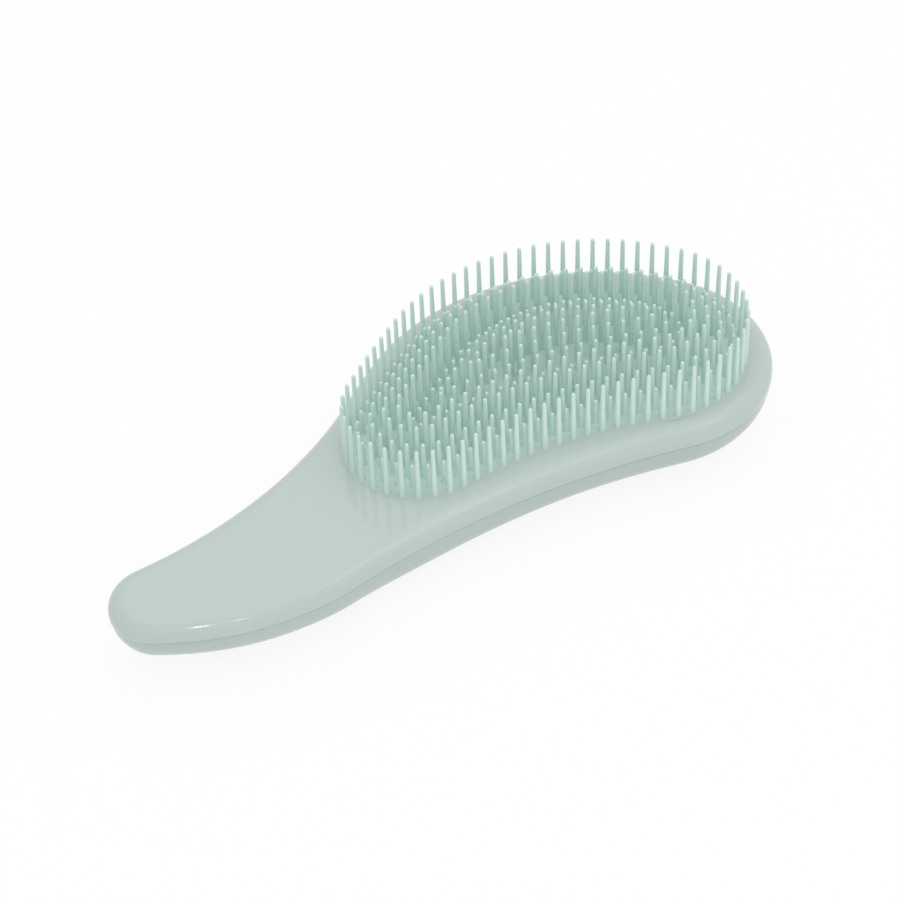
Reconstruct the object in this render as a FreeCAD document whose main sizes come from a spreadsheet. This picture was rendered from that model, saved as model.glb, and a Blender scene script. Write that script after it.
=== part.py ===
import FreeCAD, Part

import math
import os

import Sketcher

# A detangling hair brush: a kidney-shaped head full of moulded pins, drawn out into a handle.
#
# Three mouldings:
#   front_shell  the upper half of the casing, flat on top with a rolled edge and the head's window
#   back_shell   the lower half, a long belly with a locating lip, and ribs in a well under the pad
#   pin_pad      the plate with all the pins in one piece, its flange trapped under the window
#
# Frame, in millimetres: the brush lies on its back with the pins up (+Z). X runs from the
# handle's butt to the end of the head, and the full side of the head is towards +Y. The origin
# is on the surface that the brush rests on, under the middle of the casing's outline.

doc = FreeCAD.newDocument("detangling_brush")

# ---------------------------------------------------------------- driving dimensions

SIZES = [
    # the casing's outline, along the parting line
    ("casing_length", 187.3),
    ("casing_width", 84.1),
    ("butt_radius", 11.3),
    ("butt_rise", 18.05),
    ("palm_radius", 27.4),
    ("palm_reach", 46.5),
    ("palm_rise", 28.2),
    ("tip_radius", 32.8),
    ("tip_drop", 44.3),
    ("crest_radius", 63.7),
    ("crest_reach", 56.95),
    ("shoulder_radius", 26.35),
    ("shoulder_reach", 88.25),
    ("shoulder_drop", 41.15),
    ("grip_arc", 68.9),
    ("waist_arc", 223.5),
    ("brow_arc", 152.0),
    ("nape_arc", 401.0),
    ("neck_arc", 122.0),
    # the casing's section
    ("seam_height", 13.6),
    ("front_depth", 5.15),
    ("edge_roll", 4.0),
    ("wall", 2.0),
    ("seam_step", 0.3),
    ("back_wall", 3.2),
    ("back_side", 6.6),
    ("back_hollow", 4.2),
    ("back_floor", 5.0),
    ("back_sweep", 450.0),
    ("belly_from_butt", 63.65),
    ("belly_from_tip", 53.65),
    ("lip_height", 1.4),
    ("lip_clearance", 0.15),
    # the pin field, whose outer ring follows the head's edge
    ("rim_width", 7.1),
    ("heel_radius", 18.5),
    ("heel_reach", 99.25),
    ("heel_drop", 48.95),
    ("notch_arc", 116.0),
    ("window_margin", 1.3),
    ("window_chamfer", 0.2),
    # the pin pad's plate
    ("flange_width", 1.2),
    ("flange_thickness", 1.6),
    ("pad_recess", 0.15),
    ("pad_clearance", 0.1),
    # the ribs that hold the plate up
    ("rib_length", 10.0),
    ("rib_thickness", 1.6),
    ("rib_inset", 9.0),
    # the pins: each ring has its height, and its start as a share of the pitch
    ("ring_spacing", 3.4),
    ("pin_pitch", 3.92),
    ("pin_base_width", 1.3),
    ("pin_tip_width", 1.1),
    ("pin_nose", 0.35),
    ("pin_height_1", 14.7),
    ("pin_height_2", 7.2),
    ("pin_height_3", 10.8),
    ("pin_height_4", 13.4),
    ("pin_height_5", 14.8),
    ("pin_height_6", 8.3),
    ("pin_height_7", 11.5),
    ("pin_height_8", 13.3),
    ("pin_height_9", 14.8),
    ("ring_shift_1", 0.22),
    ("ring_shift_2", 0.95),
    ("ring_shift_3", 0.62),
    ("ring_shift_4", 0.29),
    ("ring_shift_5", 0.9),
    ("ring_shift_6", 0.6),
    ("ring_shift_7", 0.3),
    ("ring_shift_8", 0.76),
    ("ring_shift_9", 0.2),
]

RING_KINDS = 9
RIB_COUNT = 6

sheet = doc.addObject("Spreadsheet::Sheet", "sizes")
for row, (alias, number) in enumerate(SIZES, start=1):
    sheet.set("A%d" % row, alias)
    sheet.set("B%d" % row, str(number))
    sheet.setAlias("B%d" % row, alias)
doc.recompute()


def size(alias):
    return float(getattr(sheet, alias))


# A length that is a sum of sheet sizes is written {alias: factor}.


def total(terms):
    return sum(factor * size(alias) for alias, factor in terms.items())


def formula(terms):
    return " + ".join("(%r) * sizes.%s" % (factor, alias) for alias, factor in terms.items())


def plus(terms, more, sign=1):
    out = dict(terms)
    for alias, factor in more.items():
        out[alias] = out.get(alias, 0) + sign * factor
    return out


# ---------------------------------------------------------------- outlines of tangent arcs

# An outline goes round its lobes counter-clockwise. A lobe is a circle (x, y, radius), and from
# each lobe to the next runs a tangent arc: a wide one that encloses both, or a hollow one that
# both touch from outside.

# The handle's lobes are placed from the butt end and the palm's side, the head's lobes from the
# head's end and the crest's side.
BUTT_END = {"casing_length": -0.5}
TIP_END = {"casing_length": 0.5}
PALM_SIDE = {"casing_width": -0.5}
CREST_SIDE = {"casing_width": 0.5}


def placed(x_edge, x_inwards, y_edge, y_inwards, radius):
    """A lobe whose centre lies inwards from one end and one side by the named sizes."""
    x_sign = 1 if x_edge == BUTT_END else -1
    y_sign = 1 if y_edge == PALM_SIDE else -1
    return plus(x_edge, {x_inwards: x_sign}), plus(y_edge, {y_inwards: y_sign}), {radius: 1}


CASING_LOBES = {
    "butt": placed(BUTT_END, "butt_radius", PALM_SIDE, "butt_rise", "butt_radius"),
    "palm": placed(BUTT_END, "palm_reach", PALM_SIDE, "palm_rise", "palm_radius"),
    "tip": placed(TIP_END, "tip_radius", CREST_SIDE, "tip_drop", "tip_radius"),
    "crest": placed(TIP_END, "crest_reach", CREST_SIDE, "crest_radius", "crest_radius"),
    "shoulder": placed(TIP_END, "shoulder_reach", CREST_SIDE, "shoulder_drop", "shoulder_radius"),
}
CASING_ARCS = [
    ("grip_arc", "wide"),
    ("waist_arc", "hollow"),
    ("brow_arc", "wide"),
    ("nape_arc", "wide"),
    ("neck_arc", "hollow"),
]
CASING = [
    (lobe, {alias: 1}, kind) for lobe, (alias, kind) in zip(CASING_LOBES.values(), CASING_ARCS)
]

# The pins' outer ring shares the head's two big lobes, a rim's width inside them.
RIM = {"rim_width": 1}
HEEL = placed(TIP_END, "heel_reach", CREST_SIDE, "heel_drop", "heel_radius")
TOE = (*CASING_LOBES["tip"][:2], plus(CASING_LOBES["tip"][2], RIM, -1))
ARCH = (*CASING_LOBES["crest"][:2], plus(CASING_LOBES["crest"][2], RIM, -1))
PIN_FIELD = [
    (HEEL, {"notch_arc": 1}, "hollow"),
    (TOE, plus({"brow_arc": 1}, RIM, -1), "wide"),
    (ARCH, plus({"nape_arc": 1}, RIM, -1), "wide"),
]


def grown(outline, grow):
    """The same outline moved outwards by grow: lobes and wide arcs gain, hollow arcs lose."""
    out = []
    for (x, y, radius), arc, kind in outline:
        sign = 1 if kind == "wide" else -1
        out.append(((x, y, plus(radius, grow)), plus(arc, grow, sign), kind))
    return out


def arc_centre(first, second, arc, kind):
    """The centre of the arc that touches two lobes, each (x, y, radius)."""
    side = -1 if kind == "wide" else 1
    reach_first = arc + side * first[2]
    reach_second = arc + side * second[2]
    across = (second[0] - first[0], second[1] - first[1])
    apart = math.hypot(*across)
    along = (reach_first**2 - reach_second**2 + apart**2) / (2 * apart)
    off = -side * math.sqrt(reach_first**2 - along**2)
    x = first[0] + (along * across[0] - off * across[1]) / apart
    y = first[1] + (along * across[1] + off * across[0]) / apart
    return x, y


def bearing(x, y, lobe):
    """The direction from an arc's centre to a lobe's centre."""
    return math.atan2(lobe[1] - y, lobe[0] - x)


def outline_arcs(outline):
    """Each lobe and the arc after it, as (x, y, radius, start, end, hollow), going round."""
    lobes = [tuple(total(terms) for terms in lobe) for lobe, _, _ in outline]
    links = []
    for i, (_, arc, kind) in enumerate(outline):
        first = lobes[i]
        second = lobes[(i + 1) % len(lobes)]
        x, y = arc_centre(first, second, total(arc), kind)
        links.append((x, y, total(arc), kind, bearing(x, y, first), bearing(x, y, second)))
    arcs = []
    for i, lobe in enumerate(lobes):
        before = links[i - 1]
        after = links[i]
        # a hollow arc's centre is on the far side of the point where it touches the lobe
        start = before[5] + (math.pi if before[3] == "hollow" else 0)
        end = after[4] + (math.pi if after[3] == "hollow" else 0)
        arcs.append((*lobe, start, end, False))
        x, y, radius, kind, touch_first, touch_second = after
        if kind == "hollow":
            arcs.append((x, y, radius, touch_second, touch_first, True))
        else:
            arcs.append((x, y, radius, touch_first, touch_second, False))
    return arcs


def add_outline(sketch, outline):
    """Draws an outline in a sketch, tied to the sheet by radii, lobe centres and tangency."""
    arcs = outline_arcs(outline)
    first = sketch.GeometryCount
    for x, y, radius, start, end, _ in arcs:
        circle = Part.Circle(FreeCAD.Vector(x, y, 0), FreeCAD.Vector(0, 0, 1), radius)
        sketch.addGeometry(Part.ArcOfCircle(circle, start, start + (end - start) % (2 * math.pi)), False)
    for i, arc in enumerate(arcs):
        after = (i + 1) % len(arcs)
        leaves = 1 if arc[5] else 2
        enters = 2 if arcs[after][5] else 1
        sketch.addConstraint(Sketcher.Constraint("Tangent", first + i, leaves, first + after, enters))
    ties = []
    for i, (lobe, arc, _) in enumerate(outline):
        lobe_arc = first + 2 * i
        x, y, radius = lobe
        ties.append((Sketcher.Constraint("DistanceX", -1, 1, lobe_arc, 3, total(x)), x))
        ties.append((Sketcher.Constraint("DistanceY", -1, 1, lobe_arc, 3, total(y)), y))
        ties.append((Sketcher.Constraint("Radius", lobe_arc, total(radius)), radius))
        ties.append((Sketcher.Constraint("Radius", lobe_arc + 1, total(arc)), arc))
    for constraint, terms in ties:
        index = sketch.addConstraint(constraint)
        sketch.setExpression("Constraints[%d]" % index, formula(terms))


def outline_wire(outline, height):
    """The outline as a wire at a height."""
    edges = []
    for x, y, radius, start, end, _ in outline_arcs(outline):
        circle = Part.Circle(FreeCAD.Vector(x, y, height), FreeCAD.Vector(0, 0, 1), radius)
        edges.append(Part.ArcOfCircle(circle, start, start + (end - start) % (2 * math.pi)).toShape())
    return Part.Wire(Part.__sortEdges__(edges))


# ---------------------------------------------------------------- building blocks


def new_body(label):
    body = doc.addObject("PartDesign::Body", label)
    body.Label = label
    return body


def new_sketch(body, name, role="XY_Plane", height=None):
    """A sketch on one of the body's own planes, raised to a height."""
    sketch = body.newObject("Sketcher::SketchObject", name)
    plane = next(f for f in body.Origin.OriginFeatures if f.Role == role)
    sketch.AttachmentSupport = [(plane, "")]
    sketch.MapMode = "FlatFace"
    if height:
        sketch.setExpression("AttachmentOffset.Base.z", formula(height))
    doc.recompute()
    return sketch


def outline_sketch(body, name, outlines, height):
    sketch = new_sketch(body, name, height=height)
    for outline in outlines:
        add_outline(sketch, outline)
    doc.recompute()
    return sketch


def pad(body, name, sketch, length, downwards=False):
    feature = body.newObject("PartDesign::Pad", name)
    feature.Profile = sketch
    feature.Reversed = downwards
    feature.setExpression("Length", formula(length))
    doc.recompute()
    return feature


def pocket(body, name, sketch, length, upwards=False):
    before = body.Shape.Volume
    feature = body.newObject("PartDesign::Pocket", name)
    feature.Profile = sketch
    feature.Reversed = upwards
    feature.setExpression("Length", formula(length))
    doc.recompute()
    if not body.Shape.Volume < before:
        raise RuntimeError("%s cuts nothing" % name)
    return feature


def edge_feature(body, name, base, chosen, amount):
    """A chamfer on the edges of base that chosen(edge) picks."""
    edges = ["Edge%d" % i for i, edge in enumerate(base.Shape.Edges, start=1) if chosen(edge)]
    feature = body.newObject("PartDesign::Chamfer", name)
    feature.Base = (base, edges)
    feature.setExpression("Size", formula(amount))
    doc.recompute()
    return feature


def level_at(edge, height):
    box = edge.BoundBox
    return abs(box.ZMin - height) < 1e-4 and abs(box.ZMax - height) < 1e-4


SEAM = {"seam_height": 1}
TOP = plus(SEAM, {"front_depth": 1})
WALL = {"wall": 1}
WINDOW = grown(PIN_FIELD, {"window_margin": 1})
FLANGE = grown(WINDOW, {"flange_width": 1})
FLANGE_UNDERSIDE = plus(TOP, {"wall": 1, "flange_thickness": 1}, -1)
PAD_TOP = plus(TOP, {"pad_recess": 1}, -1)
BELLY_START = plus(BUTT_END, {"belly_from_butt": 1})
BELLY_STOP = plus(TIP_END, {"belly_from_tip": 1}, -1)
BACK_INSIDE = grown(CASING, {"seam_step": -1, "back_wall": -1})
FLOOR = {"back_floor": 1}

# ---------------------------------------------------------------- front shell


def make_front_shell():
    body = new_body("front_shell")
    outline = outline_sketch(body, "front_outline", [CASING], SEAM)
    block = pad(body, "front_block", outline, {"front_depth": 1})
    top = total(TOP)
    bevel = 1 - math.tan(math.pi / 8)
    trim = math.tan(math.pi / 8) - math.tan(math.pi / 16)

    def on_top(edge):
        return level_at(edge, top)

    # the rolled edge in two strips that touch its quarter circle
    bevelled = edge_feature(body, "rolled_edge", block, on_top, {"edge_roll": bevel})
    edge_feature(body, "rolled_edge_trim", bevelled, on_top, {"edge_roll": trim})
    hollow = outline_sketch(body, "front_hollow_outline", [grown(CASING, {"wall": -1})], SEAM)
    pocket(body, "front_hollow", hollow, {"front_depth": 1, "wall": -1}, upwards=True)
    window = outline_sketch(body, "window_outline", [WINDOW], SEAM)
    opening = pocket(body, "window", window, {"front_depth": 1}, upwards=True)
    window_box = outline_wire(WINDOW, top).BoundBox

    def on_window(edge):
        return level_at(edge, top) and window_box.isInside(edge.BoundBox)

    edge_feature(body, "window_edge", opening, on_window, {"window_chamfer": 1})
    return body


# ---------------------------------------------------------------- back shell


def sweep_profile(sketch):
    """The region under the belly: flat where the brush rests, curving up towards both ends."""
    start, end, radius = total(BELLY_START), total(BELLY_STOP), size("back_sweep")
    reach = size("casing_length")
    rise = radius - math.sqrt(radius**2 - (reach / 2) ** 2)
    left = FreeCAD.Vector(start - reach / 2, rise, 0)
    right = FreeCAD.Vector(end + reach / 2, rise, 0)
    under = -2 * rise
    left_circle = Part.Circle(FreeCAD.Vector(start, radius, 0), FreeCAD.Vector(0, 0, 1), radius)
    right_circle = Part.Circle(FreeCAD.Vector(end, radius, 0), FreeCAD.Vector(0, 0, 1), radius)
    swing = math.asin(reach / 2 / radius)
    down = -math.pi / 2
    corners = [
        right,
        FreeCAD.Vector(right.x, under, 0),
        FreeCAD.Vector(left.x, under, 0),
        left,
    ]
    sketch.addGeometry(Part.ArcOfCircle(left_circle, down - swing, down), False)
    sketch.addGeometry(
        Part.LineSegment(FreeCAD.Vector(start, 0, 0), FreeCAD.Vector(end, 0, 0)), False
    )
    sketch.addGeometry(Part.ArcOfCircle(right_circle, down, down + swing), False)
    for a, b in zip(corners, corners[1:]):
        sketch.addGeometry(Part.LineSegment(a, b), False)
    sketch.addConstraint(Sketcher.Constraint("Tangent", 0, 2, 1, 1))
    sketch.addConstraint(Sketcher.Constraint("Tangent", 1, 2, 2, 1))
    for i in range(2, 6):
        sketch.addConstraint(Sketcher.Constraint("Coincident", i, 2, (i + 1) % 6, 1))
    sketch.addConstraint(Sketcher.Constraint("Horizontal", 1))
    ties = [
        (Sketcher.Constraint("Radius", 0, radius), {"back_sweep": 1}),
        (Sketcher.Constraint("Radius", 2, radius), {"back_sweep": 1}),
        (Sketcher.Constraint("DistanceX", -1, 1, 1, 1, start), BELLY_START),
        (Sketcher.Constraint("DistanceX", -1, 1, 1, 2, end), BELLY_STOP),
    ]
    sketch.addConstraint(Sketcher.Constraint("DistanceY", -1, 1, 1, 1, 0))
    for constraint, terms in ties:
        index = sketch.addConstraint(constraint)
        sketch.setExpression("Constraints[%d]" % index, formula(terms))


def make_back_shell():
    body = new_body("back_shell")
    outline = outline_sketch(body, "back_outline", [grown(CASING, {"seam_step": -1})], SEAM)
    pad(body, "back_block", outline, SEAM, downwards=True)
    profile = new_sketch(body, "sweep_outline", role="XZ_Plane")
    sweep_profile(profile)
    doc.recompute()
    before = body.Shape.Volume
    sweep = body.newObject("PartDesign::Pocket", "belly_sweep")
    sweep.Profile = profile
    sweep.Midplane = True
    sweep.setExpression("Length", formula({"casing_width": 2}))
    doc.recompute()
    if not body.Shape.Volume < before:
        raise RuntimeError("belly_sweep cuts nothing")
    seam = total(SEAM)

    def under_edge(edge):
        straight = isinstance(edge.Curve, Part.Line)
        return not straight and edge.BoundBox.ZMax < seam - 1

    edge_feature(body, "belly_edge", sweep, under_edge, plus(SEAM, {"back_side": 1}, -1))
    hollow = outline_sketch(body, "back_hollow_outline", [BACK_INSIDE], SEAM)
    pocket(body, "back_hollow", hollow, {"back_hollow": 1})
    lip_outside = grown(CASING, {"wall": -1, "lip_clearance": -1})
    lip = outline_sketch(body, "lip_outline", [lip_outside, BACK_INSIDE], SEAM)
    pad(body, "locating_lip", lip, {"lip_height": 1})
    well = outline_sketch(body, "well_outline", [PIN_FIELD], SEAM)
    pocket(body, "well", well, plus(SEAM, FLOOR, -1))
    ribs = new_sketch(body, "rib_outlines", height=FLOOR)
    ring = outline_wire(grown(PIN_FIELD, {"rib_inset": -1}), 0)
    for point in evenly_round(ring, RIB_COUNT, 0.5):
        add_rib(ribs, point)
    doc.recompute()
    pad(body, "ribs", ribs, plus(FLANGE_UNDERSIDE, FLOOR, -1))
    return body


def add_rib(sketch, middle):
    """A rib's rectangle round a point, its long side across the brush."""
    x, y = size("rib_thickness") / 2, size("rib_length") / 2
    corners = [
        middle + FreeCAD.Vector(-x, -y, 0),
        middle + FreeCAD.Vector(x, -y, 0),
        middle + FreeCAD.Vector(x, y, 0),
        middle + FreeCAD.Vector(-x, y, 0),
    ]
    first = sketch.GeometryCount
    for a, b in zip(corners, corners[1:] + corners[:1]):
        sketch.addGeometry(Part.LineSegment(a, b), False)
    for i in range(4):
        sketch.addConstraint(
            Sketcher.Constraint("Coincident", first + i, 2, first + (i + 1) % 4, 1)
        )
        side = "Horizontal" if i % 2 == 0 else "Vertical"
        sketch.addConstraint(Sketcher.Constraint(side, first + i))
    sketch.addConstraint(Sketcher.Constraint("DistanceX", -1, 1, first, 1, corners[0].x))
    sketch.addConstraint(Sketcher.Constraint("DistanceY", -1, 1, first, 1, corners[0].y))
    thickness = sketch.addConstraint(Sketcher.Constraint("DistanceX", first, 1, first, 2, 2 * x))
    length = sketch.addConstraint(Sketcher.Constraint("DistanceY", first + 1, 1, first + 1, 2, 2 * y))
    sketch.setExpression("Constraints[%d]" % thickness, "sizes.rib_thickness")
    sketch.setExpression("Constraints[%d]" % length, "sizes.rib_length")


# ---------------------------------------------------------------- pin pad


def evenly_round(wire, count, shift):
    """count points evenly spaced along a closed wire, from its end nearest the handle."""
    steps = 40 * count
    fine = wire.discretize(Number=steps + 1)[:-1]
    start = min(range(steps), key=lambda i: fine[i].x)
    return [fine[(start + round((i + shift) * steps / count)) % steps] for i in range(count)]


def square(width, height):
    """A square's corners round the z axis, counter-clockwise."""
    half = width / 2
    signs = ((-1, -1), (1, -1), (1, 1), (-1, 1))
    return [FreeCAD.Vector(x * half, y * half, height) for x, y in signs]


def pin(height):
    """One pin standing at the origin: a square stem with a slight taper and a pointed nose."""
    foot = square(size("pin_base_width"), 0)
    neck = square(size("pin_tip_width"), height - size("pin_nose"))
    peak = FreeCAD.Vector(0, 0, height)
    outlines = [foot[::-1]]
    for i in range(4):
        j = (i + 1) % 4
        outlines.append([foot[i], foot[j], neck[j], neck[i]])
        outlines.append([neck[i], neck[j], peak])
    faces = [Part.Face(Part.makePolygon(corners + corners[:1])) for corners in outlines]
    return Part.Solid(Part.Shell(faces))


def half_breadth(wire):
    """The radius of the largest circle that fits inside a closed wire.

    A circle that touches the wire at P with inward normal n and passes through Q has the radius
    |Q-P|^2 / (2 (Q-P).n). The smallest over all Q fits at P.
    """
    points = wire.discretize(Number=161)[:-1]
    best = 0
    for i, point in enumerate(points):
        along = points[(i + 1) % len(points)] - points[i - 1]
        inward = FreeCAD.Vector(-along.y, along.x, 0).normalize()
        fits = []
        for other in points:
            reach = (other - point).dot(inward)
            if reach > 1e-6:
                fits.append((other - point).dot(other - point) / (2 * reach))
        best = max(best, min(fits))
    return best


def pin_rings():
    """Each ring's pins: the outer ring, then rings stepped inwards until the field is full."""
    outer = outline_wire(PIN_FIELD, total(PAD_TOP))
    spacing = size("ring_spacing")
    count = 1 + int((half_breadth(outer) - size("pin_base_width")) / spacing)
    pins = []
    for ring in range(count):
        kind = min(ring + 1, RING_KINDS)
        wire = outer if ring == 0 else outer.makeOffset2D(-ring * spacing)
        in_ring = round(wire.Length / size("pin_pitch"))
        one = pin(size("pin_height_%d" % kind))
        for point in evenly_round(wire, in_ring, size("ring_shift_%d" % kind)):
            placed_pin = one.copy()
            placed_pin.translate(point)
            pins.append(placed_pin)
    print("%d rings, %d pins" % (count, len(pins)))
    return pins


def make_pin_pad():
    plate = new_body("pad_plate")
    flange = outline_sketch(plate, "flange_outline", [FLANGE], FLANGE_UNDERSIDE)
    pad(plate, "flange", flange, {"flange_thickness": 1})
    raised = grown(WINDOW, {"pad_clearance": -1})
    plug = outline_sketch(plate, "plug_outline", [raised], FLANGE_UNDERSIDE)
    pad(plate, "plug", plug, plus(PAD_TOP, FLANGE_UNDERSIDE, -1))
    pins = doc.addObject("Part::Feature", "pins")
    pins.Shape = Part.makeCompound(pin_rings())
    joined = doc.addObject("Part::Feature", "pin_pad")
    joined.Shape = plate.Shape.fuse(pins.Shape.Solids)
    joined.Label = "pin_pad"
    return joined


# ---------------------------------------------------------------- build, check and write

parts = [make_front_shell(), make_back_shell(), make_pin_pad()]
doc.recompute()

for thing in doc.Objects:
    if "Invalid" in thing.State or "Error" in thing.State:
        raise RuntimeError("%s failed: %s" % (thing.Name, thing.State))

os.makedirs("parts", exist_ok=True)
for part in parts:
    shape = part.Shape
    if shape.isNull() or not shape.isValid() or len(shape.Solids) != 1:
        raise RuntimeError("%s is not one valid solid" % part.Label)
    box = shape.BoundBox
    print(
        "%-12s %9.1f mm3  x %.1f..%.1f  y %.1f..%.1f  z %.1f..%.1f"
        % (part.Label, shape.Volume, box.XMin, box.XMax, box.YMin, box.YMax, box.ZMin, box.ZMax)
    )
    shape.exportStep("parts/%s.step" % part.Label)
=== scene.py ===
from typing import NamedTuple

import bpy
import numpy as np
from mathutils import Matrix


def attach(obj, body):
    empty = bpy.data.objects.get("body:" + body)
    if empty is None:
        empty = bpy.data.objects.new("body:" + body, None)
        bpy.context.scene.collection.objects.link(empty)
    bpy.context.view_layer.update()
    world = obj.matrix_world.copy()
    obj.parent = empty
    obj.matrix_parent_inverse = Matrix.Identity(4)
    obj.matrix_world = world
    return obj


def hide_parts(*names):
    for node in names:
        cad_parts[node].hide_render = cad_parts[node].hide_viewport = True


# A detangling hair brush lying on its back: two casing shells, and a pad with its rings of pins.
# Its sizes are in millimetres, and X runs from the handle's butt to the end of the head. The
# floor, lamps and camera are in metres.

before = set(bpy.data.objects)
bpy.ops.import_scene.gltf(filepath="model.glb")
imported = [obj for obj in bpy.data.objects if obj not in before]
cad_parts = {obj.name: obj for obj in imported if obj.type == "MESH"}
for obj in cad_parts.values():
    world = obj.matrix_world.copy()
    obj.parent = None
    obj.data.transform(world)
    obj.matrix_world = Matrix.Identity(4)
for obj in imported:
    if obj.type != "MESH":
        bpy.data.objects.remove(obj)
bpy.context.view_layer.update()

MM = 0.001
FULL_TURN = 2 * np.pi

# ---------------------------------------------------------------- sizes

# The two shells: heights above the table, and the front shell's wall and rounds
SEAM = 13.6
TOP = 18.75
WALL = 2.0
EDGE_ROLL = 4.0
LOWER_ROUND = 0.25

# The back shell's edge: a step in from the front shell, a round of its own up to the groove that
# shows as the seam, as (inset from the step, drop below the seam), and the groove
BACK_STEP = 0.3
SEAM_GAP = 0.02
GROOVE_DEPTH = 0.18
BACK_EDGE = [(0.0, 0.4), (0.06, 0.27), (0.2, GROOVE_DEPTH)]
GROOVE_END = 1.0

# Its inside: the lip that locates in the front shell, and the hollow
BACK_WALL = 3.2
BACK_HOLLOW = 4.2
LIP_CLEARANCE = 0.15
LIP_HEIGHT = 1.4

# The belly lies flat from its start to its end along X, and sweeps up past both on a circle
BELLY_START = -60.0
BELLY_END = 40.0
BELLY_SWEEP = 450.0
# It is lifted under the handle, from nothing at the first of these places to all at the second
HANDLE_LIFT = 2.5
LIFT_START = -9.0
LIFT_END = -59.0
# How full its cross-section is, up to the first half width and from the second one on
HANDLE_FULLNESS = 2.1
HEAD_FULLNESS = 2.9
HANDLE_HALF_WIDTH = 10.5
HEAD_HALF_WIDTH = 22.5

# The rim from the casing's outline to the pin field's, and the window round the field
RIM = 7.1
WINDOW_MARGIN = 1.3
WINDOW_ROUND = 0.02

# The pin pad
PAD_TOP = 18.6
PAD_CLEARANCE = 0.01
FLANGE = 1.2
FLANGE_THICKNESS = 1.6

# How finely the surfaces are divided
OUTLINE_POINTS = 640
ROUND_STEPS = 3
ROLL_STEPS = 12
BELLY_RINGS = 30
PIN_SIDES = 8
# From a round to the first ring on the flat beside it
FLAT_MARGIN = 0.5
# A mesh edge that turns more than this is left sharp
SHARP = np.radians(40)


class Outline(NamedTuple):
    """Round lobes (x, y, radius), walked counter-clockwise from the one at the -X end.

    links are the radii of the arcs that lead from each lobe to the next, hollow says which links
    curve inwards, and end says which lobe holds the +X end.
    """

    lobes: list
    links: list
    hollow: set
    end: int


BUTT = (-82.35, -24.0, 11.3)
PALM = (-47.15, -13.85, 27.4)
TIP = (60.85, -2.25, 32.8)
CREST = (36.7, -21.65, 63.7)
SHOULDER = (5.4, 0.9, 26.35)
GRIP_ARC = 68.9
WAIST_ARC = 223.5
BROW_ARC = 152.0
NAPE_ARC = 401.0
NECK_ARC = 122.0
CASING = Outline(
    lobes=[BUTT, PALM, TIP, CREST, SHOULDER],
    links=[GRIP_ARC, WAIST_ARC, BROW_ARC, NAPE_ARC, NECK_ARC],
    hollow={1, 4},
    end=2,
)

# The pin field shares the head's end and far side with the casing, a rim's width inside them
HEEL = (-5.6, -6.9, 18.5)
TOE = (TIP[0], TIP[1], TIP[2] - RIM)
ARCH = (CREST[0], CREST[1], CREST[2] - RIM)
NOTCH_ARC = 116.0
PIN_FIELD = Outline(
    lobes=[HEEL, TOE, ARCH],
    links=[NOTCH_ARC, BROW_ARC - RIM, NAPE_ARC - RIM],
    hollow={0},
    end=1,
)

# The point in the head from which the whole outline can be seen
HEAD_CENTRE = np.array([17.0, -14.5])

# ---------------------------------------------------------------- outlines of tangent arcs


def heading(rays):
    """The angle of each (x, y) ray."""
    return np.arctan2(rays[..., 1], rays[..., 0])


def grown(outline, grow):
    """The same outline moved outwards: lobes and wide arcs gain, hollow arcs lose."""
    lobes = [(x, y, radius + grow) for x, y, radius in outline.lobes]
    links = [
        radius - grow if i in outline.hollow else radius + grow
        for i, radius in enumerate(outline.links)
    ]
    return outline._replace(lobes=lobes, links=links)


def link_centre(first, second, radius, hollow):
    """The centre of the arc that touches two lobes, outside the outline when it is hollow.

    It lies the two radii added (hollow) or subtracted (wide) from each lobe's centre, so it is
    where two circles of those reaches cross.
    """
    side = 1 if hollow else -1
    reach_first = radius + side * first[2]
    reach_second = radius + side * second[2]
    across = np.subtract(second[:2], first[:2])
    apart = np.hypot(*across)
    along = (reach_first**2 - reach_second**2 + apart**2) / (2 * apart)
    off = -side * np.sqrt(reach_first**2 - along**2)
    turned = np.array([-across[1], across[0]])
    return np.array(first[:2]) + (along * across + off * turned) / apart


def arcs_of(outline):
    """Every arc in the order it is walked, as rows (x, y, radius, first angle, signed sweep)."""
    lobes, links, hollow, _ = outline
    centres, enter, leave = [], [], []
    for i, radius in enumerate(links):
        first, second = lobes[i], lobes[(i + 1) % len(lobes)]
        centre = link_centre(first, second, radius, i in hollow)
        centres.append(centre)
        enter.append(heading(np.array(first[:2]) - centre))
        leave.append(heading(np.array(second[:2]) - centre))
    rows = []
    for i, lobe in enumerate(lobes):
        before = (i - 1) % len(lobes)
        # a hollow arc is touched on the lobe's other side, half a turn round
        start = leave[before] + (np.pi if before in hollow else 0)
        end = enter[i] + (np.pi if i in hollow else 0)
        rows.append((*lobe, start, (end - start) % FULL_TURN))
        if i in hollow:
            sweep = -((enter[i] - leave[i]) % FULL_TURN)
        else:
            sweep = (leave[i] - enter[i]) % FULL_TURN
        rows.append((*centres[i], links[i], enter[i], sweep))
    return np.array(rows)


def walk(outline, distance):
    """Points and outward normals at the given distances along the outline's walk.

    A point is its arc's centre plus radius (cos a, sin a), where a is the arc's first angle and
    the distance into the arc over its radius, added or, on a hollow arc, taken away.
    """
    rows = arcs_of(outline)
    lengths = rows[:, 2] * np.abs(rows[:, 4])
    ends = np.cumsum(lengths)
    distance = np.mod(distance, ends[-1])
    row = np.minimum(np.searchsorted(ends, distance, side="right"), len(rows) - 1)
    x, y, radius, start, sweep = rows[row].T
    turn = start + np.sign(sweep) * (distance - (ends - lengths)[row]) / radius
    ray = np.stack([np.cos(turn), np.sin(turn)], axis=-1)
    points = np.stack([x, y], axis=-1) + radius[:, None] * ray
    return points, np.sign(sweep)[:, None] * ray


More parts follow.
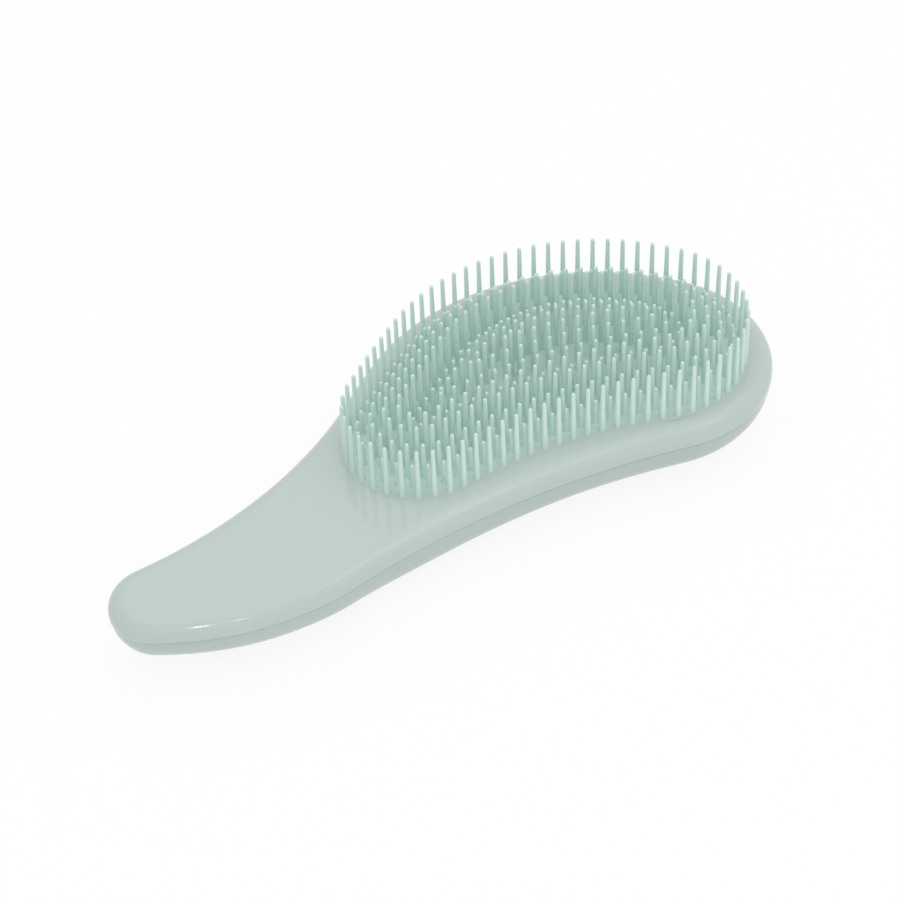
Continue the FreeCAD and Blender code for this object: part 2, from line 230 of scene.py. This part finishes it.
def two_sides(outline, count):
    """Distances for count points: half evenly down each side, between the -X and the +X end.

    The ends are where the end lobes' angles reach half a turn and nought.
    """
    rows = arcs_of(outline)
    starts = np.concatenate([[0], np.cumsum(rows[:, 2] * np.abs(rows[:, 4]))])
    butt = (np.pi - rows[0, 3]) % FULL_TURN * rows[0, 2]
    end = 2 * outline.end
    tip = starts[end] + (-rows[end, 3]) % FULL_TURN * rows[end, 2]
    half = np.arange(count // 2) / (count // 2)
    total = starts[-1]
    return np.concatenate([butt + (tip - butt) * half, tip + (butt + total - tip) * half])


def half_width(points, normals):
    """For each outline point, the radius of the largest inside circle that touches it.

    A circle touching P with inward normal -n that also passes through Q has the radius
    |Q-P|^2 / (2 (P-Q).n); the smallest over all Q is the one that fits. A Q that is P itself, or
    isn't on the inner side of P, sets no limit.
    """
    apart = points[:, None, :] - points[None, :, :]
    toward = np.einsum("ijk,ik->ij", apart, normals)
    square = (apart**2).sum(-1)
    rounding = 1e-6
    fits = toward > rounding
    return np.where(fits, square / (2 * np.where(fits, toward, 1)), np.inf).min(axis=1)


def smoothed(values, width):
    """A closed row of values blurred by a Gaussian of the given width in samples."""
    count = len(values)
    steps = np.minimum(np.arange(count), count - np.arange(count))
    kernel = np.exp(-0.5 * (steps / width) ** 2)
    kernel /= kernel.sum()
    return np.fft.irfft(np.fft.rfft(values) * np.fft.rfft(kernel), count)


def eased(values, start, end):
    """From 0 at start to 1 at end along the smooth step t^2 (3 - 2t)."""
    t = np.clip((values - start) / (end - start), 0, 1)
    return t**2 * (3 - 2 * t)


def quarter(steps):
    """Pairs of sine and one minus cosine over a quarter turn in even steps, both from 0 to 1."""
    turn = np.linspace(0, np.pi / 2, steps + 1)
    return np.stack([np.sin(turn), 1 - np.cos(turn)], axis=-1)


# ---------------------------------------------------------------- meshes from rings


def ring(points, height):
    """A closed row of (x, y) points lifted to one height, or to a height for each point."""
    return np.column_stack([points, np.broadcast_to(height, len(points))])


def skin(rings, count, closed=False):
    """Quads between successive rings of count vertices, and back to the first ring if closed."""
    i = np.arange(count)
    j = np.arange(rings if closed else rings - 1)[:, None]
    here, over = j * count, (j + 1) % rings * count
    after = (i + 1) % count
    return np.stack([here + i, here + after, over + after, over + i], axis=-1).reshape(-1, 4)


def zip_up(first, count):
    """Quads and two end triangles that close the ring starting at vertex first.

    They lie across the ring, joining its vertex i to its vertex -i.
    """
    i = np.arange(1, count // 2 - 1)
    quads = np.stack([i, i + 1, count - i - 1, count - i], axis=-1) + first
    ends = np.array([[0, 1, count - 1], [count // 2 - 1, count // 2, count // 2 + 1]]) + first
    return quads, ends


def closed_skin(rings, count):
    """Faces of a stack of rings, closed across its first ring below and its last ring above."""
    bottom, bottom_ends = zip_up(0, count)
    top, top_ends = zip_up((rings - 1) * count, count)
    return [skin(rings, count), bottom[:, ::-1], bottom_ends[:, ::-1], top, top_ends]


def make_mesh(name, vertices, faces, smooth_angle=None):
    """A smooth mesh object at the origin, its vertices given in millimetres."""
    mesh = bpy.data.meshes.new(name)
    mesh.from_pydata(np.asarray(vertices) * MM, [], [f for part in faces for f in part.tolist()])
    mesh.shade_smooth()
    if smooth_angle is not None:
        mesh.set_sharp_from_angle(angle=smooth_angle)
    mesh.validate()
    piece = bpy.data.objects.new(name, mesh)
    bpy.context.scene.collection.objects.link(piece)
    return piece


casing_points, casing_normals = walk(CASING, two_sides(CASING, OUTLINE_POINTS))


def inset(distance):
    """The casing's outline moved inwards by one distance, or by one for each point."""
    return casing_points - np.reshape(distance, (-1, 1)) * casing_normals


# ---------------------------------------------------------------- front shell

WINDOW_STEPS = 8000


def facing_window():
    """Window points in the same directions from the head's centre as the casing's points.

    The window is walked in fine steps, and each wanted direction is looked up among the steps'
    directions, which run over three turns so that none falls off an end.
    """
    window = grown(PIN_FIELD, WINDOW_MARGIN)
    fine = two_sides(window, WINDOW_STEPS)
    points, _ = walk(window, fine)
    seen = np.unwrap(heading(points - HEAD_CENTRE))
    wanted = np.unwrap(heading(inset(EDGE_ROLL) - HEAD_CENTRE))
    wanted += FULL_TURN * np.round((seen.mean() - wanted.mean()) / FULL_TURN)
    turns = np.concatenate([seen - FULL_TURN, seen, seen + FULL_TURN])
    # the whole way round, its last step taken to be as long as its first
    length = fine[-1] - fine[0] + (fine[1] - fine[0])
    distances = np.concatenate([fine - length, fine, fine + length])
    return walk(window, np.interp(wanted, turns, distances))


def make_front():
    """A closed tube round the window: up the wall, over the roll, in to the window and back under.

    The roll is a quarter circle from the wall to the flat top: inset R (1 - cos a), height
    R sin a. The wall's lower edge and the window's edge are small quarter circles like it.
    """
    window, outwards = facing_window()
    rings = [
        ring(inset(LOWER_ROUND * (1 - s)), SEAM + LOWER_ROUND * f) for s, f in quarter(ROUND_STEPS)
    ]
    rings += [
        ring(inset(EDGE_ROLL * f), TOP - EDGE_ROLL * (1 - s)) for s, f in quarter(ROLL_STEPS)
    ]
    rings.append(ring(inset(EDGE_ROLL + FLAT_MARGIN), TOP))
    rings.append(ring(window + (WINDOW_ROUND + FLAT_MARGIN) * outwards, TOP))
    rings += [
        ring(window + WINDOW_ROUND * (1 - s) * outwards, TOP - WINDOW_ROUND * f)
        for s, f in quarter(ROUND_STEPS)
    ]
    rings.append(ring(window, TOP - WALL))
    rings.append(ring(inset(WALL), TOP - WALL))
    rings.append(ring(inset(WALL), SEAM))
    faces = [skin(len(rings), OUTLINE_POINTS, closed=True)]
    return make_mesh("front_cover", np.concatenate(rings), faces, SHARP)


# ---------------------------------------------------------------- back shell

# The blur of the half width along the outline, in outline points
WIDTH_BLUR = 6
# The share of the half width, on each side of the middle line, that the belly's rings leave flat
BELLY_MIDDLE = 0.2
# Above 1 the belly's rings crowd towards the edge
BELLY_CROWDING = 1.3


def belly_floor(x):
    """The lowest line of the belly: flat under the head, and lifted along the handle.

    At a distance d past the flat it rises by R - sqrt(R^2 - d^2), with R the BELLY_SWEEP, and a
    smooth step of HANDLE_LIFT is added.
    """
    past = np.maximum(BELLY_START - x, 0) + np.maximum(x - BELLY_END, 0)
    sweep = BELLY_SWEEP - np.sqrt(BELLY_SWEEP**2 - past**2)
    return sweep + HANDLE_LIFT * eased(x, LIFT_START, LIFT_END)


def make_back():
    """A deep dish whose cross-section is half a superellipse, closed by the lip and the hollow.

    From the edge (r = 1) to the middle line (r = 0) the depth is (1 - r^n)^(1/n) of the belly's
    full depth, where r is one minus the distance from the edge over the local half width. With
    an angle a that is r = cos(a)^(2/n) and depth = sin(a)^(2/n). The power n grows from the slim
    handle to the broad head.
    """
    width = smoothed(half_width(casing_points, casing_normals), WIDTH_BLUR) - BACK_STEP
    broad = eased(width, HANDLE_HALF_WIDTH, HEAD_HALF_WIDTH)
    power = HANDLE_FULLNESS + (HEAD_FULLNESS - HANDLE_FULLNESS) * broad
    steps = np.linspace(0, 1, BELLY_RINGS)[:, None] ** BELLY_CROWDING
    turn = steps * np.arccos(BELLY_MIDDLE ** (power / 2))
    level = np.cos(turn) ** (2 / power)
    depth = np.sin(turn) ** (2 / power)
    seam = SEAM - SEAM_GAP
    rings = []
    # from the middle out, but for the outermost, whose place BACK_EDGE takes
    for r, share in zip(level[:0:-1], depth[:0:-1]):
        points = inset(BACK_STEP + width * (1 - r))
        rings.append(ring(points, seam - (seam - belly_floor(points[:, 0])) * share))
    rings += [ring(inset(BACK_STEP + further), seam - drop) for further, drop in BACK_EDGE]
    lip = WALL + LIP_CLEARANCE
    inside = BACK_STEP + BACK_WALL
    rings += [
        ring(inset(GROOVE_END), seam - GROOVE_DEPTH),
        ring(inset(GROOVE_END), seam),
        ring(inset(lip), seam),
        ring(inset(lip), SEAM + LIP_HEIGHT),
        ring(inset(inside), SEAM + LIP_HEIGHT),
        ring(inset(inside), SEAM - BACK_HOLLOW),
    ]
    faces = closed_skin(len(rings), OUTLINE_POINTS)
    return make_mesh("back_cover", np.concatenate(rings), faces, SHARP)


# ---------------------------------------------------------------- pin pad

# The plate's rings from the flange's underside to the flat that the pins stand on, as (distance
# outside the window's edge, height, how far the colour has passed from the rim's to the pad's)
PLATE_RINGS = [
    (FLANGE, TOP - WALL - FLANGE_THICKNESS, 0),
    (FLANGE, TOP - WALL, 0),
    (-PAD_CLEARANCE, TOP - WALL, 0),
    (-PAD_CLEARANCE, TOP - 0.02, 0),
    (-0.03, TOP, 0),
    (-0.8, TOP, 0.1),
    (-2.0, PAD_TOP, 0.5),
    (-3.5, PAD_TOP, 0.85),
    (-5.0, PAD_TOP, 1.0),
]


def make_plate():
    """The plate under the pins: a plug in the window with a flange below it, closed both sides.

    Its rings are the window's outline moved in or out, and its "inside" value goes from 0 at the
    edge to 1 for the colour.
    """
    window = grown(PIN_FIELD, WINDOW_MARGIN)
    points, normals = walk(window, two_sides(window, OUTLINE_POINTS // 2))
    count = len(points)
    rings = [ring(points + out * normals, height) for out, height, _ in PLATE_RINGS]
    faces = closed_skin(len(rings), count)
    plate = make_mesh("pin_plate", np.concatenate(rings), faces, SHARP)
    layer = plate.data.attributes.new("inside", "FLOAT", "POINT")
    layer.data.foreach_set("value", np.repeat([inside for *_, inside in PLATE_RINGS], count))
    return plate


# Corners of the CAD pad this far above the plate belong to the pins' noses
SHORTEST_PIN = 3.0
# A nose is narrower than this, and pins stand further apart
NOSE_REACH = 1.2
SAME_HEIGHT = 0.05


def pin_places():
    """The axis and tip height of every pin in the CAD pad.

    A pin's tip is the corner high above the plate with no higher one within NOSE_REACH.
    """
    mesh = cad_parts["pin_pad"].data
    corners = np.empty(len(mesh.vertices) * 3)
    mesh.vertices.foreach_get("co", corners)
    corners = np.unique(np.round(corners.reshape(-1, 3) / MM, 3), axis=0)
    corners = corners[corners[:, 2] > PAD_TOP + SHORTEST_PIN]
    apart = np.hypot(*(corners[:, None, :2] - corners[None, :, :2]).transpose(2, 0, 1))
    higher = corners[None, :, 2] > corners[:, None, 2] + SAME_HEIGHT
    return corners[~((apart < NOSE_REACH) & higher).any(axis=1)]


# A pin's outline as (radius, height) measured up from its foot, then (radius, drop) from its tip
PIN_FOOT = [(1.0, -0.3), (0.84, 0.05), (0.76, 0.6)]
PIN_TIP = [(0.56, 0.9), (0.52, 0.45), (0.40, 0.15), (0.18, 0.02)]


def make_pins():
    """Every pin as rings of one round profile: a flared foot, a slight taper and a domed tip.

    A ring's points are the pin's axis plus radius (cos a, sin a), and the tip is a point.
    """
    places = pin_places()
    turn = np.arange(PIN_SIDES) * FULL_TURN / PIN_SIDES
    circle = np.stack([np.cos(turn), np.sin(turn), 0 * turn], axis=-1)
    feet = np.column_stack([places[:, :2], np.full(len(places), PAD_TOP)])
    levels = [feet[:, None] + radius * circle + (0, 0, height) for radius, height in PIN_FOOT]
    levels += [places[:, None] + radius * circle - (0, 0, drop) for radius, drop in PIN_TIP]
    body = np.stack(levels, axis=1).reshape(len(places), -1, 3)
    vertices = np.concatenate([body, places[:, None]], axis=1)
    per_pin = vertices.shape[1]
    first = (np.arange(len(places)) * per_pin)[:, None, None]
    i = np.arange(PIN_SIDES)
    top = (len(levels) - 1) * PIN_SIDES
    peak = np.full(PIN_SIDES, per_pin - 1)
    cap = np.stack([top + i, top + (i + 1) % PIN_SIDES, peak], axis=-1)
    faces = [
        (skin(len(levels), PIN_SIDES) + first).reshape(-1, 4),
        (cap + first).reshape(-1, 3),
        (i[::-1] + first[:, 0]).reshape(-1, PIN_SIDES),
    ]
    return make_mesh("pins", vertices.reshape(-1, 3), faces)


# ---------------------------------------------------------------- materials

PLASTIC_IOR = 1.49
# Blotches and grains to a metre, and the grain's height in metres
CLOUD_SCALE = 25
PIN_CLOUD_SCALE = 60
GRAIN_SCALE = 2500
GRAIN_HEIGHT = 1.5e-7
GRAIN_STRENGTH = 0.5
# The part of the cloud's noise that is spread from one tint to the other
CLOUD_LOW = 0.35
CLOUD_HIGH = 0.65
# The front shell's colour as the pad's edge takes it up
RIM_TINT = (0.505, 0.588, 0.56)


def moulding_group():
    """Moulded plastic: a faint cloud between two tints, its roughness, and a fine grain."""
    group = bpy.data.node_groups.new("moulded_plastic", "ShaderNodeTree")
    for name, way, kind in (
        ("Tint", "INPUT", "NodeSocketColor"),
        ("Second Tint", "INPUT", "NodeSocketColor"),
        ("Cloud Scale", "INPUT", "NodeSocketFloat"),
        ("Roughness Low", "INPUT", "NodeSocketFloat"),
        ("Roughness High", "INPUT", "NodeSocketFloat"),
        ("Color", "OUTPUT", "NodeSocketColor"),
        ("Roughness", "OUTPUT", "NodeSocketFloat"),
        ("Height", "OUTPUT", "NodeSocketFloat"),
    ):
        group.interface.new_socket(name, in_out=way, socket_type=kind)
    nodes, links = group.nodes, group.links
    given = nodes.new("NodeGroupInput")
    out = nodes.new("NodeGroupOutput")
    place = nodes.new("ShaderNodeTexCoord")

    cloud = nodes.new("ShaderNodeTexNoise")
    cloud.inputs["Detail"].default_value = 3
    links.new(place.outputs["Object"], cloud.inputs["Vector"])
    links.new(given.outputs["Cloud Scale"], cloud.inputs["Scale"])
    spread = nodes.new("ShaderNodeMapRange")
    spread.inputs["From Min"].default_value = CLOUD_LOW
    spread.inputs["From Max"].default_value = CLOUD_HIGH
    links.new(cloud.outputs["Fac"], spread.inputs["Value"])

    tint = nodes.new("ShaderNodeMix")
    tint.data_type = "RGBA"
    links.new(spread.outputs["Result"], tint.inputs["Factor"])
    links.new(given.outputs["Tint"], tint.inputs["A"])
    links.new(given.outputs["Second Tint"], tint.inputs["B"])
    links.new(tint.outputs["Result"], out.inputs["Color"])

    grain = nodes.new("ShaderNodeTexNoise")
    grain.inputs["Scale"].default_value = GRAIN_SCALE
    grain.inputs["Detail"].default_value = 2
    links.new(place.outputs["Object"], grain.inputs["Vector"])
    links.new(grain.outputs["Fac"], out.inputs["Height"])

    rub = nodes.new("ShaderNodeMapRange")
    links.new(grain.outputs["Fac"], rub.inputs["Value"])
    links.new(given.outputs["Roughness Low"], rub.inputs["To Min"])
    links.new(given.outputs["Roughness High"], rub.inputs["To Max"])
    links.new(rub.outputs["Result"], out.inputs["Roughness"])
    return group


MOULDING = moulding_group()


def plastic(name, tint, second_tint, roughness, cloud_scale=CLOUD_SCALE):
    """A glossy moulded plastic: two tints, and its lowest and highest roughness."""
    material = bpy.data.materials.new(name)
    material.use_nodes = True
    nodes, links = material.node_tree.nodes, material.node_tree.links
    shader = nodes["Principled BSDF"]
    shader.inputs["IOR"].default_value = PLASTIC_IOR
    surface = nodes.new("ShaderNodeGroup")
    surface.node_tree = MOULDING
    surface.inputs["Tint"].default_value = (*tint, 1)
    surface.inputs["Second Tint"].default_value = (*second_tint, 1)
    surface.inputs["Cloud Scale"].default_value = cloud_scale
    surface.inputs["Roughness Low"].default_value = roughness[0]
    surface.inputs["Roughness High"].default_value = roughness[1]
    links.new(surface.outputs["Color"], shader.inputs["Base Color"])
    links.new(surface.outputs["Roughness"], shader.inputs["Roughness"])
    bump = nodes.new("ShaderNodeBump")
    bump.inputs["Strength"].default_value = GRAIN_STRENGTH
    bump.inputs["Distance"].default_value = GRAIN_HEIGHT
    links.new(surface.outputs["Height"], bump.inputs["Height"])
    links.new(bump.outputs["Normal"], shader.inputs["Normal"])
    return material


def shade_inwards(material, rim_tint):
    """Blends the material's colour from a rim tint at the plate's edge, by its "inside" value."""
    nodes, links = material.node_tree.nodes, material.node_tree.links
    shader = nodes["Principled BSDF"]
    inner = shader.inputs["Base Color"].links[0].from_socket
    inside = nodes.new("ShaderNodeAttribute")
    inside.attribute_name = "inside"
    blend = nodes.new("ShaderNodeMix")
    blend.data_type = "RGBA"
    blend.inputs["A"].default_value = (*rim_tint, 1)
    links.new(inside.outputs["Fac"], blend.inputs["Factor"])
    links.new(inner, blend.inputs["B"])
    links.new(blend.outputs["Result"], shader.inputs["Base Color"])


FRONT_PLASTIC = plastic(
    "front_plastic",
    tint=(0.51, 0.59, 0.563),
    second_tint=(0.498, 0.585, 0.553),
    roughness=(0.11, 0.14),
)
# The back shell's tints are partly its own greyer tone and partly painted shade: they are darker
# than the front shell's to stand in for the shade on its downward-facing side.
BACK_PLASTIC = plastic(
    "back_plastic",
    tint=(0.465, 0.552, 0.525),
    second_tint=(0.455, 0.547, 0.517),
    roughness=(0.14, 0.18),
)
PAD_PLASTIC = plastic(
    "pad_plastic",
    tint=(0.62, 0.77, 0.72),
    second_tint=(0.61, 0.765, 0.71),
    roughness=(0.12, 0.15),
)
shade_inwards(PAD_PLASTIC, RIM_TINT)
PIN_PLASTIC = plastic(
    "pin_plastic",
    tint=(0.665, 0.825, 0.773),
    second_tint=(0.65, 0.82, 0.758),
    roughness=(0.3, 0.38),
    cloud_scale=PIN_CLOUD_SCALE,
)

# ---------------------------------------------------------------- the brush

for piece, node, slot, material in (
    (make_front(), "front_shell", "front_casing", FRONT_PLASTIC),
    (make_back(), "back_shell", "back_casing", BACK_PLASTIC),
    (make_plate(), "pin_pad", "pins", PAD_PLASTIC),
    (make_pins(), "pin_pad", "pins", PIN_PLASTIC),
):
    piece.data.materials.append(material)
    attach(piece, "root")
    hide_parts(node)

# ---------------------------------------------------------------- floor, light and camera

FLOOR_REACH = 3.0
# Just under the brush, so that the two don't share a plane
FLOOR_HEIGHT = -0.0001
FLOOR_WHITE = 0.98
# Seen by the camera or in a gloss, the floor is this much plain white, and its shadow is faint
FLOOR_GLOW = 0.88
WORLD_LIGHT = 0.745

# The photograph's viewpoint: where the camera stands from its target along the ground, how far up
# it is in degrees, and how far off, and its roll
CAMERA_TARGET = np.array([0.13, -12.2, 18.6]) * MM
CAMERA_GROUND = np.array([-0.4147, -0.9100])
CAMERA_ELEVATION = 42.65
CAMERA_REACH = 0.5914
CAMERA_ROLL = -2.52
SENSOR_WIDTH = 36
LENS = 96
CLIP_NEAR = 0.01
CLIP_FAR = 20

# A broad light overhead, a soft one for the ridge of light along the waist, and two small ones
# for the bright streaks on the handle's roll: name, place, target, size and power in watts
LAMPS = (
    ("key", (0.12, 0.12, 0.97), (0, 0, 0), (1.3, 1.3), 2.4),
    ("soft_right", (0.468, -0.406, 0.766), (0.02, -0.03, 0.017), (0.4, 0.3), 0.42),
    ("window_left", (-0.339, -0.739, 0.602), (-0.0765, -0.0376, 0.0174), (0.1, 0.13), 0.7),
    ("window_right", (-0.1255, -0.776, 0.615), (-0.0675, -0.04, 0.0174), (0.09, 0.11), 0.22),
)


def seen_rays(nodes, links):
    """One for camera, glossy and transmission rays, which see the backdrop; zero for the rest."""
    ray = nodes.new("ShaderNodeLightPath")
    value = ray.outputs["Is Camera Ray"]
    for kind in ("Is Glossy Ray", "Is Transmission Ray"):
        either = nodes.new("ShaderNodeMath")
        either.operation = "MAXIMUM"
        links.new(value, either.inputs[0])
        links.new(ray.outputs[kind], either.inputs[1])
        value = either.outputs["Value"]
    return value


def lit_or_seen(nodes, links, lit, seen):
    """One shader for the rays that light the brush, and another for the rays that see it."""
    pick = nodes.new("ShaderNodeMixShader")
    links.new(seen_rays(nodes, links), pick.inputs["Fac"])
    links.new(lit, pick.inputs[1])
    links.new(seen, pick.inputs[2])
    return pick.outputs["Shader"]


def make_floor():
    """A pale square to lie on, far wider than the view, with a faint shadow where it is seen."""
    mesh = bpy.data.meshes.new("floor")
    sides = [(-1, -1), (1, -1), (1, 1), (-1, 1)]
    corners = [(FLOOR_REACH * x, FLOOR_REACH * y, FLOOR_HEIGHT) for x, y in sides]
    mesh.from_pydata(corners, [], [(0, 1, 2, 3)])
    floor = bpy.data.objects.new("floor", mesh)
    bpy.context.scene.collection.objects.link(floor)
    material = bpy.data.materials.new("floor_white")
    material.use_nodes = True
    nodes, links = material.node_tree.nodes, material.node_tree.links
    shader = nodes["Principled BSDF"]
    shader.inputs["Base Color"].default_value = (FLOOR_WHITE, FLOOR_WHITE, FLOOR_WHITE, 1)
    shader.inputs["Roughness"].default_value = 0.9
    shader.inputs["Specular IOR Level"].default_value = 0.1
    white = nodes.new("ShaderNodeEmission")
    pale = nodes.new("ShaderNodeMixShader")
    pale.inputs["Fac"].default_value = FLOOR_GLOW
    links.new(shader.outputs["BSDF"], pale.inputs[1])
    links.new(white.outputs["Emission"], pale.inputs[2])
    picked = lit_or_seen(nodes, links, shader.outputs["BSDF"], pale.outputs["Shader"])
    links.new(picked, nodes["Material Output"].inputs["Surface"])
    mesh.materials.append(material)


def white_world():
    """A plain dome: full white where the camera looks past the floor, a little less as light."""
    world = bpy.data.worlds.new("studio")
    world.use_nodes = True
    bpy.context.scene.world = world
    nodes, links = world.node_tree.nodes, world.node_tree.links
    light = nodes["Background"]
    light.inputs["Color"].default_value = (1, 1, 1, 1)
    light.inputs["Strength"].default_value = WORLD_LIGHT
    seen = nodes.new("ShaderNodeBackground")
    seen.inputs["Color"].default_value = (1, 1, 1, 1)
    seen.inputs["Strength"].default_value = 1.0
    picked = lit_or_seen(nodes, links, light.outputs["Background"], seen.outputs["Background"])
    links.new(picked, nodes["World Output"].inputs["Surface"])


def stand(thing, side, up, back, place):
    """Stands a lamp or camera at a place, looking against back, with side to its right."""
    thing.matrix_world = Matrix(
        [[side[k], up[k], back[k], place[k]] for k in range(3)] + [[0, 0, 0, 1]]
    )


def area_light(name, place, target, size, power):
    """A soft rectangular light at a place, facing a target."""
    data = bpy.data.lights.new(name, "AREA")
    data.shape = "RECTANGLE"
    data.size, data.size_y = size
    data.energy = power
    lamp = bpy.data.objects.new(name, data)
    bpy.context.scene.collection.objects.link(lamp)
    back = np.subtract(place, target)
    back = back / np.linalg.norm(back)
    side = np.cross((0, 0, 1), back)
    side /= np.linalg.norm(side)
    stand(lamp, side, np.cross(back, side), back, place)


def make_camera():
    """The camera: its distance times (cos e along the ground, sin e up) from its target."""
    elevation, roll = np.radians([CAMERA_ELEVATION, CAMERA_ROLL])
    ground = CAMERA_GROUND / np.linalg.norm(CAMERA_GROUND)
    back = np.array([*(np.cos(elevation) * ground), np.sin(elevation)])
    level = np.array([-ground[1], ground[0], 0.0])
    lift = np.cross(back, level)
    side = np.cos(roll) * level + np.sin(roll) * lift
    up = -np.sin(roll) * level + np.cos(roll) * lift
    data = bpy.data.cameras.new("camera")
    data.sensor_width = SENSOR_WIDTH
    data.lens = LENS
    data.clip_start, data.clip_end = CLIP_NEAR, CLIP_FAR
    camera = bpy.data.objects.new("camera", data)
    bpy.context.scene.collection.objects.link(camera)
    stand(camera, side, up, back, CAMERA_TARGET + CAMERA_REACH * back)
    bpy.context.scene.camera = camera


make_floor()
white_world()
make_camera()
for lamp in LAMPS:
    area_light(*lamp)

bpy.context.scene.view_settings.view_transform = "Standard"
